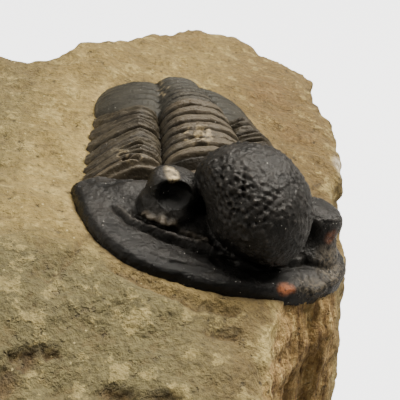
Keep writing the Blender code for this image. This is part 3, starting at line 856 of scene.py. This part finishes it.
amount = 0.9 * rough(points, 9.0, 3, 1.0) * ease((away - 2) / 6)
amount += 0.4 * rough(points, 2.6, 4, 2.0) * mix(0.4, 1, calm)
for path, depth, width in CRACKS:
    amount -= depth * bump(line_distance(points, path), width) * upper
wall = (1 - upper) * free
flutes = rough(points * np.array((1, 1, 0.1)), 1.5, 3, 14.0)
left_front = ease((points[:, 0] - 14) / 4) * ease((-18 - points[:, 1]) / 5)
amount += wall * (0.55 * rough(points, 6.0, 3, 5.0) + left_front * 0.6 * flutes)
ragged = points + np.outer(rough(points, 2.0, 3, 8.0), (0.9, 0.9, 0.6))
pits = np.maximum.reduce([spot(ragged, centre, radius) * depth for centre, radius, depth in STONE_PITS])
amount -= pits
amount *= free
points = points + normals * amount[:, None]
points[:, 2] = np.where(free < 0.02, np.minimum(points[:, 2], BASE_EDGE), points[:, 2])
put_points(stone, np.clip(points, LOW, HIGH))
print("stone box", points.min(0).round(1), points.max(0).round(1))

# %% [markdown]
# ## Where the stone changes colour
#
# The top is warm brown on the left and grey in front and on the right. Rust has run in four places, cracks
# and pits are darker, a painted shadow follows the foot of the brim, the broken rim of the left front is
# pale, and a small vein of white spar crosses the left edge.

# %% Paint the stone
RUSTY = [  # centre, radius, strength
    ((24.5, 26, 29), (7, 12, 8), 1.0), ((28, 14, 27), (5, 6, 6), 1.0),
    ((8, 45, 33), (9, 8, 8), 0.7), ((-8, -45.5, 27.5), (3.5, 2.6, 4), 0.9),
]
PALE_RIM = [(20.7, -28.3), (20.8, -31), (20.3, -33.2), (19.9, -40)]
x, y, z = points.T
near = ease((2.6 - away) / 2.2)
warm = np.maximum(ease((x - 6) / 18), 0.45 * ease(y / 25)) * upper
grey = np.maximum(ease((-24 - y) / 8) * upper, 0.6 * ease((-8 - x) / 8))
cracks = sum(bump(line_distance(points, path), width * 1.3) * min(depth * 1.1, 1)
             for path, depth, width in CRACKS)
rusty = [strength * spot(points, centre, radius) for centre, radius, strength in RUSTY]
# Painted shadow: a dark line on the stone along the foot of the brim.
brim_contact_shadow = 0.7 * ease((1.0 - away) / 0.7) * ease((-10 - y) / 5)
pale_rim = bump(line_distance(points, PALE_RIM), 1.2) * ease((z - 17) / 3)
# dark: darker in the cracks and pits, plus the painted shadow at the foot of the brim.
paint(stone, crest=standing_out(stone, 6), flutes=left_front * wall, near=near,
      warm=np.maximum(warm, 0.35 * wall),
      rust=np.maximum.reduce(rusty),
      grey=grey * (1 - 0.6 * near) * (1 - 0.7 * wall),
      dark=np.clip(cracks * upper + 0.85 * pits + brim_contact_shadow, 0, 1),
      pale=np.maximum(pale_rim, spot(points, (-0.4, -28.0, 32.5), (1.8, 1.1, 1.5))),
      spar=0.7 * spot(points, (34.0, 9.0, 23.6), (1.6, 3.5, 2.2)))
print("rusty places", len(RUSTY), "cracks", len(CRACKS), "pits", len(STONE_PITS))

# %% [markdown]
# ## Wiring
#
# A material is a net of small nodes. It could be wired by hand in the editor. Short helpers make the same
# nodes here: a product of masks, a span, a noise, and a coat of colour laid over what is below it.

# %% Helpers for nodes
def wire(tree, value, socket):
    if isinstance(value, bpy.types.NodeSocket):
        tree.links.new(value, socket)
    else:
        socket.default_value = value


def add(tree, kind, settings=None, **inputs):
    """A node with its settings. Inputs are given by name, or as i0, i1 by number."""
    node = tree.nodes.new(kind)
    for key, value in (settings or {}).items():
        setattr(node, key, value)
    for key, value in inputs.items():
        by_number = key[0] == "i" and key[1:].isdigit()
        wire(tree, value, node.inputs[int(key[1:])] if by_number else node.inputs[key.replace("_", " ")])
    return node


def math_node(tree, operation, a, b=0.0, clamp=False):
    return add(tree, "ShaderNodeMath", {"operation": operation, "use_clamp": clamp}, i0=a, i1=b).outputs[0]


def times(tree, *values):
    """The product of masks and numbers."""
    total = values[0]
    for value in values[1:]:
        total = math_node(tree, "MULTIPLY", total, value)
    return total


def span(tree, value, low, high):
    """0 below low, 1 above high."""
    return add(tree, "ShaderNodeMapRange", Value=value, From_Min=low, From_Max=high).outputs[0]


def noise(tree, here, scale, detail, roughness=0.5):
    return add(tree, "ShaderNodeTexNoise", Vector=here, Scale=scale, Detail=detail,
               Roughness=roughness).outputs[0]


def blend(tree, factor, a, b, kind="MIX"):
    node = add(tree, "ShaderNodeMix", {"data_type": "RGBA", "blend_type": kind})
    for value, number in ((factor, 0), (a, 6), (b, 7)):    # the colour sockets of a Mix node are 6 and 7
        wire(tree, value, node.inputs[number])
    return node.outputs[2]


def coat(tree, base, tone, *masks):
    """Lay a colour over the base where the product of the masks is high."""
    return blend(tree, times(tree, *masks), base, (*tone, 1))


def new_group(name, ins, outs):
    group = bpy.data.node_groups.new(name, "ShaderNodeTree")
    for label, kind, value in ins:
        socket = group.interface.new_socket(name=label, in_out="INPUT", socket_type="NodeSocket" + kind)
        if value is not None:
            socket.default_value = value
    for label in outs:
        group.interface.new_socket(name=label, in_out="OUTPUT", socket_type="NodeSocketFloat")
    return group, group.nodes.new("NodeGroupInput").outputs, group.nodes.new("NodeGroupOutput").inputs


def place(tree, group, **inputs):
    node = tree.nodes.new("ShaderNodeGroup")
    node.node_tree = group
    for key, value in inputs.items():
        wire(tree, value, node.inputs[key.replace("_", " ")])
    return node.outputs


print("wiring ready")

# %% [markdown]
# ## Node groups
#
# Three effects are shared by several finishes: fine grain, small dots that are painted glints on the shell
# and specks in the stone, and a mask of the hollows that holds dust on the shell and painted shade on the
# stone.
# Each is built once as a node group with named sockets and placed in every material with its own values.

# %% Grain, sparks and dust
PER_METRE = 1000.0    # a pattern of 1 mm repeats this often in a metre
POSITION = ("Position", "Vector", None)
grain_group, enter, leave = new_group("fine grain", [POSITION, ("Size", "Float", 1.0)], ["Height", "Patches"])
scale = math_node(grain_group, "DIVIDE", PER_METRE, enter["Size"])
wire(grain_group, noise(grain_group, enter["Position"], scale, 5.0, 0.62), leave["Height"])
broad = noise(grain_group, enter["Position"], times(grain_group, scale, 0.16), 4.0, 0.6)
wire(grain_group, broad, leave["Patches"])

# Small dots: painted glints on the shell, real specks in the stone.
glints_and_specks_group, enter, leave = new_group(
    "glints and specks",
    [POSITION, ("Spacing", "Float", 1.0), ("Share", "Float", 0.1), ("Width", "Float", 0.12)], ["Mask"])
scale = math_node(glints_and_specks_group, "DIVIDE", PER_METRE, enter["Spacing"])
cells = add(glints_and_specks_group, "ShaderNodeTexVoronoi", Vector=enter["Position"], Scale=scale).outputs
chance = add(glints_and_specks_group, "ShaderNodeSeparateColor", Color=cells["Color"]).outputs[0]
lucky = math_node(glints_and_specks_group, "LESS_THAN", chance, enter["Share"])
dot = math_node(glints_and_specks_group, "LESS_THAN", cells["Distance"], enter["Width"])
wire(glints_and_specks_group, times(glints_and_specks_group, lucky, dot), leave["Mask"])

# The hollow mask holds real dust on the shell and painted shade on the stone.
dust_and_shade_group, enter, leave = new_group(
    "dust and shade in hollows", [POSITION, ("Crest", "Float", 0.0), ("Depth", "Float", 0.1), ("Amount", "Float", 0.5)],
    ["Mask"])
depth = math_node(dust_and_shade_group, "DIVIDE", enter["Crest"], enter["Depth"])
hollow = math_node(dust_and_shade_group, "MULTIPLY", depth, -1.0, clamp=True)
broken = span(dust_and_shade_group, noise(dust_and_shade_group, enter["Position"], 900.0, 4.0), 0.4, 0.65)
wire(dust_and_shade_group, times(dust_and_shade_group, hollow, broken, enter["Amount"]), leave["Mask"])
print("groups", [group.name for group in (grain_group, glints_and_specks_group, dust_and_shade_group)])

# %% [markdown]
# ## Fossil shell
#
# The shell is dark calcite with a satin gloss, polished by the preparer's brush. Crests are browner or
# greyer than the hollows, thin dust lies low down, and tiny white dots are painted glints. Hollows, gaps
# and shaded faces get painted shade near black. The gloss comes and goes in patches and is lost under
# dust. The three kinds of shell differ only in their colours, gloss and dust, so one function makes them.

# %% Shell materials
BROWN, SHADOW, SHADE_BLACK = (0.075, 0.06, 0.04), (0.004, 0.0035, 0.003), (0.002, 0.002, 0.0018)
DUST, RUST, RUBBED, GLINT_WHITE = (0.23, 0.19, 0.13), (0.25, 0.09, 0.04), (0.46, 0.37, 0.22), (0.75, 0.72, 0.66)
GLOSS_RANGE = 0.12


def start_material(name):
    finish = bpy.data.materials.new(name)
    finish.use_nodes = True
    tree = finish.node_tree
    return finish, tree, tree.nodes["Principled BSDF"], add(tree, "ShaderNodeTexCoord").outputs["Object"]


def read(tree, name):
    settings = {"attribute_name": name, "attribute_type": "GEOMETRY"}
    return add(tree, "ShaderNodeAttribute", settings).outputs["Fac"]


def shell_material(name, dark, light, worn, roughness, dusty):
    finish, tree, shader, here = start_material(name)
    grain = place(tree, grain_group, Position=here, Size=0.4)
    height, patches, crest = grain["Height"], grain["Patches"], read(tree, "crest")
    base = blend(tree, span(tree, patches, 0.35, 0.65), (*dark, 1), (*light, 1))
    base = coat(tree, base, worn, span(tree, crest, 0.02, 0.16), span(tree, height, 0.35, 0.62), 0.6)
    base = coat(tree, base, BROWN, read(tree, "brown"), 0.55)
    base = coat(tree, base, SHADOW, span(tree, times(tree, crest, -1.0), 0.02, 0.12))
    # Painted shade: the dark mask paints hollows, gaps and shaded faces near black.
    base = coat(tree, base, SHADE_BLACK, read(tree, "dark"))
    low = place(tree, dust_and_shade_group, Position=here, Crest=crest, Depth=0.25, Amount=dusty)["Mask"]
    loose = times(tree, read(tree, "dust"), span(tree, height, 0.42, 0.62), 0.35)
    dust = math_node(tree, "MAXIMUM", low, loose)
    tan = times(tree, read(tree, "tan"), span(tree, height, 0.3, 0.55))
    # Painted highlights: small white dots stand in for glints.
    painted_glints = place(tree, glints_and_specks_group, Position=here, Spacing=0.5, Share=0.11, Width=0.1)["Mask"]
    base = coat(tree, base, DUST, dust)
    base = coat(tree, base, RUST, read(tree, "rust"), span(tree, height, 0.3, 0.5))
    base = coat(tree, base, RUBBED, tan)
    base = coat(tree, base, GLINT_WHITE, painted_glints, 0.75)
    wire(tree, base, shader.inputs["Base Color"])
    satin = add(tree, "ShaderNodeMapRange", Value=patches, From_Min=0.35, From_Max=0.65,
                To_Min=roughness - GLOSS_RANGE, To_Max=roughness + GLOSS_RANGE).outputs[0]
    matt = math_node(tree, "MAXIMUM", dust, tan)
    matt = math_node(tree, "SUBTRACT", matt, times(tree, read(tree, "dark"), 0.2))
    satin = math_node(tree, "ADD", satin, times(tree, matt, 0.5), clamp=True)
    wire(tree, satin, shader.inputs["Roughness"])
    bumped = add(tree, "ShaderNodeBump", Strength=0.6, Distance=0.0004, Height=height)
    wire(tree, bumped.outputs[0], shader.inputs["Normal"])
    shader.inputs["IOR"].default_value = 1.5
    shader.inputs["Specular IOR Level"].default_value = 0.19
    return finish


head_shell = shell_material("black head shell", (0.008, 0.0078, 0.0073), (0.021, 0.0197, 0.018),
                            (0.085, 0.076, 0.068), 0.27, 0.06)
thorax_shell = shell_material("brown thorax shell", (0.026, 0.022, 0.016), (0.05, 0.042, 0.028),
                              (0.12, 0.095, 0.062), 0.36, 0.1)
tail_shell = shell_material("grey tail shell", (0.017, 0.0165, 0.013), (0.031, 0.029, 0.0225),
                            (0.062, 0.056, 0.042), 0.46, 0.1)
print("shell finishes made")

# %% [markdown]
# ## Limestone
#
# The stone is a fine tan limestone with greyer patches in front, rust where iron has weathered, a pale
# yellow crust close to the fossil and long brown streaks down its split side. All of it is noise in the
# stone's own coordinates, laid on coat by coat through the masks that were painted on while carving.

# %% Stone material
limestone, tree, shader, here = start_material("tan limestone")
grain = place(tree, grain_group, Position=here, Size=1.1)
wide = noise(tree, here, 70.0, 5.0, 0.6)
mottle = noise(tree, here, 330.0, 6.0, 0.68)
speck = noise(tree, here, 1500.0, 4.0, 0.75)
holes = span(tree, noise(tree, here, 800.0, 3.0, 0.6), 0.64, 0.7)
drawn_out = add(tree, "ShaderNodeMapping", Vector=here, Scale=(1.0, 1.0, 0.09)).outputs[0]
streak = noise(tree, drawn_out, 1300.0, 5.0, 0.7)
side = read(tree, "flutes")
# Painted shade: the stone's hollows are darkened.
shade_in_hollows = place(tree, dust_and_shade_group, Position=here, Crest=read(tree, "crest"), Depth=0.35, Amount=0.7)["Mask"]
colour = blend(tree, span(tree, wide, 0.38, 0.62), (0.141, 0.1, 0.028, 1), (0.218, 0.162, 0.052, 1))
for tone, *masks in [
        ((0.082, 0.072, 0.031), read(tree, "grey"), 0.85),
        ((0.098, 0.063, 0.019), read(tree, "warm"), 0.85),
        ((0.29, 0.23, 0.088), span(tree, mottle, 0.55, 0.59), 0.5),
        ((0.0702, 0.0457, 0.014), span(tree, mottle, 0.45, 0.4), 0.4),
        ((0.25, 0.18, 0.065), read(tree, "near"), span(tree, grain["Patches"], 0.45, 0.6), 0.6),
        ((0.085, 0.043, 0.012), read(tree, "rust"), span(tree, mottle, 0.4, 0.58), 0.6),
        ((0.29, 0.185, 0.065), side),
        ((0.11, 0.055, 0.017), side, span(tree, streak, 0.5, 0.64)),
        ((0.42, 0.31, 0.125), side, span(tree, streak, 0.45, 0.34)),
        ((0.34, 0.27, 0.1), read(tree, "pale"), span(tree, mottle, 0.4, 0.55), 0.8),
        # darker in cracks and pits, and the painted shadow at the foot of the brim
        ((0.041, 0.0242, 0.0077), read(tree, "dark"), span(tree, mottle, 0.36, 0.52), 0.9),
        # painted shade in the stone's hollows
        ((0.0998, 0.0645, 0.021), shade_in_hollows),
        ((0.55, 0.5, 0.4), read(tree, "spar"), span(tree, mottle, 0.4, 0.55)),
        ((0.06, 0.045, 0.022), holes, 0.6),
]:
    colour = coat(tree, colour, tone, *masks)
shade = add(tree, "ShaderNodeMapRange", Value=speck, From_Min=0.36, From_Max=0.66, To_Min=0.74, To_Max=1.42)
colour = blend(tree, 1.0, colour, shade.outputs[0], "MULTIPLY")
flecks = place(tree, glints_and_specks_group, Position=here, Spacing=1.1, Share=0.2, Width=0.12)["Mask"]
dots = place(tree, glints_and_specks_group, Position=drawn_out, Spacing=1.9, Share=0.16, Width=0.11)["Mask"]
colour = coat(tree, colour, (0.375, 0.316, 0.154), flecks, 0.7)
colour = coat(tree, colour, (0.0375, 0.0277, 0.014), dots, 0.8)
wire(tree, colour, shader.inputs["Base Color"])
shader.inputs["Roughness"].default_value = 0.88
relief = math_node(tree, "ADD", times(tree, grain["Height"], 0.7), mottle)
relief = math_node(tree, "SUBTRACT", relief, times(tree, holes, 0.25))
bumped = add(tree, "ShaderNodeBump", Strength=0.95, Distance=0.0014, Height=relief)
wire(tree, bumped.outputs[0], shader.inputs["Normal"])
print("limestone nodes", len(tree.nodes))

# %% [markdown]
# ## Dress and attach
#
# Every piece takes its finish, stands for its solid and rides on the one body there is.

# %% Attach
def dress(piece, node, finish):
    piece.data.materials.clear()
    piece.data.materials.append(finish)
    take(piece)
    bpy.ops.object.shade_smooth()
    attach(piece, "root")
    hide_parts(node)


dress(stone, "matrix", limestone)
dress(head, "head_shield", head_shell)
for index, piece in enumerate(segments):
    dress(piece, f"thorax_segment_{index + 1}", thorax_shell)
dress(tail, "tail_shield", tail_shell)
print("faces", {piece.name: len(piece.data.polygons) for piece in [stone, head, tail, *segments]})

# %% [markdown]
# ## Floor, light and camera
#
# A pale floor and a soft sky give the light of a photo tent. The sky is brightest high up behind the
# head, the key lamp shines from above, left and behind, and a weak fill lamp lifts the right front of the
# head. The floor looks white to the camera alone. The camera looks down at the head from the front.

# %% Studio
BRIGHTEST_SKY = (0.12, 0.4, 0.91)
LAMPS_LOOK_AT = (10, -5, 30)
CAMERA_AT = Vector((12.35, -108.5, 84.6))
CAMERA_LOOKS_AT = Vector((12.35, -8.75, 28.0))

let_go()
bpy.ops.mesh.primitive_plane_add(size=24.0, location=(0, 0, -0.0002))
floor = named("floor")
floor_paint, tree, shader, here = start_material("pale floor")
shader.inputs["Base Color"].default_value = (0.2, 0.2, 0.2, 1)
shader.inputs["Roughness"].default_value = 0.9
shader.inputs["Emission Color"].default_value = (1, 1, 1, 1)
seen = add(tree, "ShaderNodeLightPath").outputs["Is Camera Ray"]
wire(tree, times(tree, seen, 3.4), shader.inputs["Emission Strength"])
floor.data.materials.append(floor_paint)

sky = bpy.data.worlds.new("sky")
sky.use_nodes = True
tree = sky.node_tree
height = add(tree, "ShaderNodeVectorMath", {"operation": "DOT_PRODUCT"},
             Vector=add(tree, "ShaderNodeTexCoord").outputs["Generated"])
height.inputs[1].default_value = BRIGHTEST_SKY
glow = span(tree, height.outputs["Value"], 0.15, 0.95)
backdrop = tree.nodes["Background"]
wire(tree, blend(tree, glow, (0.03, 0.03, 0.03, 1), (0.5, 0.49, 0.465, 1)), backdrop.inputs["Color"])
backdrop.inputs["Strength"].default_value = 0.76
bpy.context.scene.world = sky


def aim(holder, at, target):
    holder.location = Vector(at) * MM
    holder.rotation_euler = (Vector(target) - Vector(at)).to_track_quat("-Z", "Y").to_euler()
    bpy.context.scene.collection.objects.link(holder)


def lamp(name, at, size, power):
    light = bpy.data.lights.new(name, "AREA")
    light.shape = "DISK"
    light.size = size
    light.energy = power
    light.color = (1.0, 0.94, 0.84)
    aim(bpy.data.objects.new(name, light), at, LAMPS_LOOK_AT)


lamp("key", (170, 55, 330), 0.24, 4.9)
lamp("fill", (-280, -120, 240), 0.3, 1.15)

view = bpy.data.cameras.new("camera")
view.sensor_width = 36.0
view.lens = 75.68
view.clip_start = 0.005
view.clip_end = 40
camera = bpy.data.objects.new("camera", view)
aim(camera, CAMERA_AT, CAMERA_LOOKS_AT)
bpy.context.scene.camera = camera
print("camera", tuple(round(v, 4) for v in camera.location))
